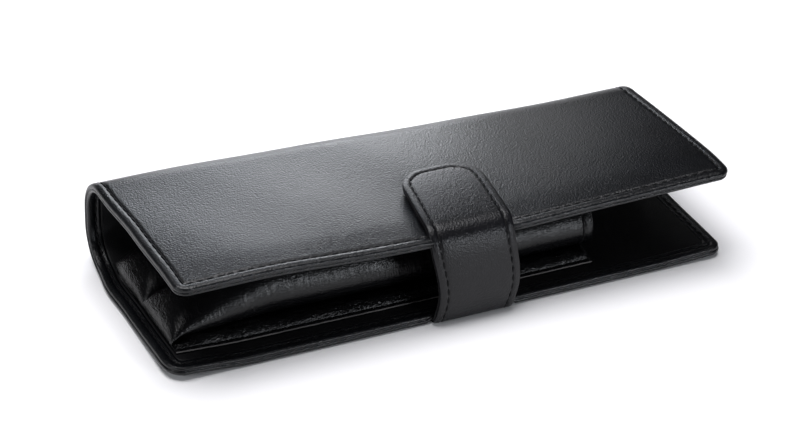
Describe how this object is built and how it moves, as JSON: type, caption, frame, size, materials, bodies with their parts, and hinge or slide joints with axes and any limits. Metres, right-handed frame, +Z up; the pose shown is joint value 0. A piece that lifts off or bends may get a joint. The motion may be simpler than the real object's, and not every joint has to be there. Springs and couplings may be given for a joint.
{
  "type": "fountain pen case",
  "caption": "Folding black leather case with a soft spine, a two-lane pen pocket and a strap that closes over the flap with a press stud.",
  "frame": {"origin": "under the middle of the closed case's box, on the surface that it rests on", "axes": "+X along the case towards the lanes' open mouths, +Y from the strap to the spine, +Z up through the flap"},
  "size_m": [0.165, 0.0718, 0.0315],
  "materials": {
    "shell_leather": "soft nappa with a fine pebble grain, satin",
    "strap_leather": "smooth nappa, satin, with painted edges",
    "pocket_leather": "thin soft leather with fine creases, slightly glossy",
    "lining_leather": "thin matt lining leather",
    "interlining": "bonded leather board, matt, hidden",
    "lane_cloth": "fine woven lining cloth, matt",
    "thread": "bonded polyester sewing thread, satin",
    "snap_metal": "nickel-plated, bright"
  },
  "bodies": {
    "base": {"base_outer_leather": "shell_leather", "base_interlining": "interlining", "base_lining": "lining_leather", "base_stitching": "thread", "pocket_floor": "pocket_leather", "front_lane": "pocket_leather", "rear_lane": "pocket_leather", "front_lane_lining": "lane_cloth", "rear_lane_lining": "lane_cloth", "front_lane_end": "pocket_leather", "rear_lane_end": "pocket_leather", "pocket_front_welt": "pocket_leather", "pocket_rear_welt": "pocket_leather", "pocket_centre_seam": "pocket_leather", "pocket_stitching": "thread", "lane_mouth_stitching": "thread", "strap_tail": "strap_leather", "strap_tail_stitching": "thread"},
    "spine": {"spine_outer_leather": "shell_leather", "spine_interlining": "interlining", "spine_lining": "lining_leather", "spine_stitching": "thread"},
    "flap": {"flap_outer_leather": "shell_leather", "flap_interlining": "interlining", "flap_lining": "lining_leather", "flap_stitching": "thread", "snap_stud": "snap_metal", "snap_post": "snap_metal"},
    "strap_riser": {"strap_riser_outer": "strap_leather", "strap_riser_lining": "lining_leather", "strap_riser_stitching": "thread"},
    "strap_tab": {"strap_tab_outer": "strap_leather", "strap_tab_lining": "lining_leather", "strap_tab_stitching": "thread", "snap_socket": "snap_metal", "snap_cap": "snap_metal"}
  },
  "joints": [
    {"name": "spine_hinge", "type": "hinge", "parent": "base", "child": "spine", "pos_m": [0, 0.03238, 0.00351], "axis": [-1, 0, 0], "range_deg": [0, 90]},
    {"name": "flap_hinge", "type": "hinge", "parent": "spine", "child": "flap", "pos_m": [0, 0.03238, 0.02549], "axis": [-1, 0, 0], "range_deg": [0, 90]},
    {"name": "strap_hinge", "type": "hinge", "parent": "base", "child": "strap_riser", "pos_m": [0.005, -0.03502, 0.00088], "axis": [1, 0, 0], "range_deg": [0, 90]},
    {"name": "tab_hinge", "type": "hinge", "parent": "strap_riser", "child": "strap_tab", "pos_m": [0.005, -0.03485, 0.03035], "axis": [1, 0, 0], "range_deg": [0, 90]}
  ]
}
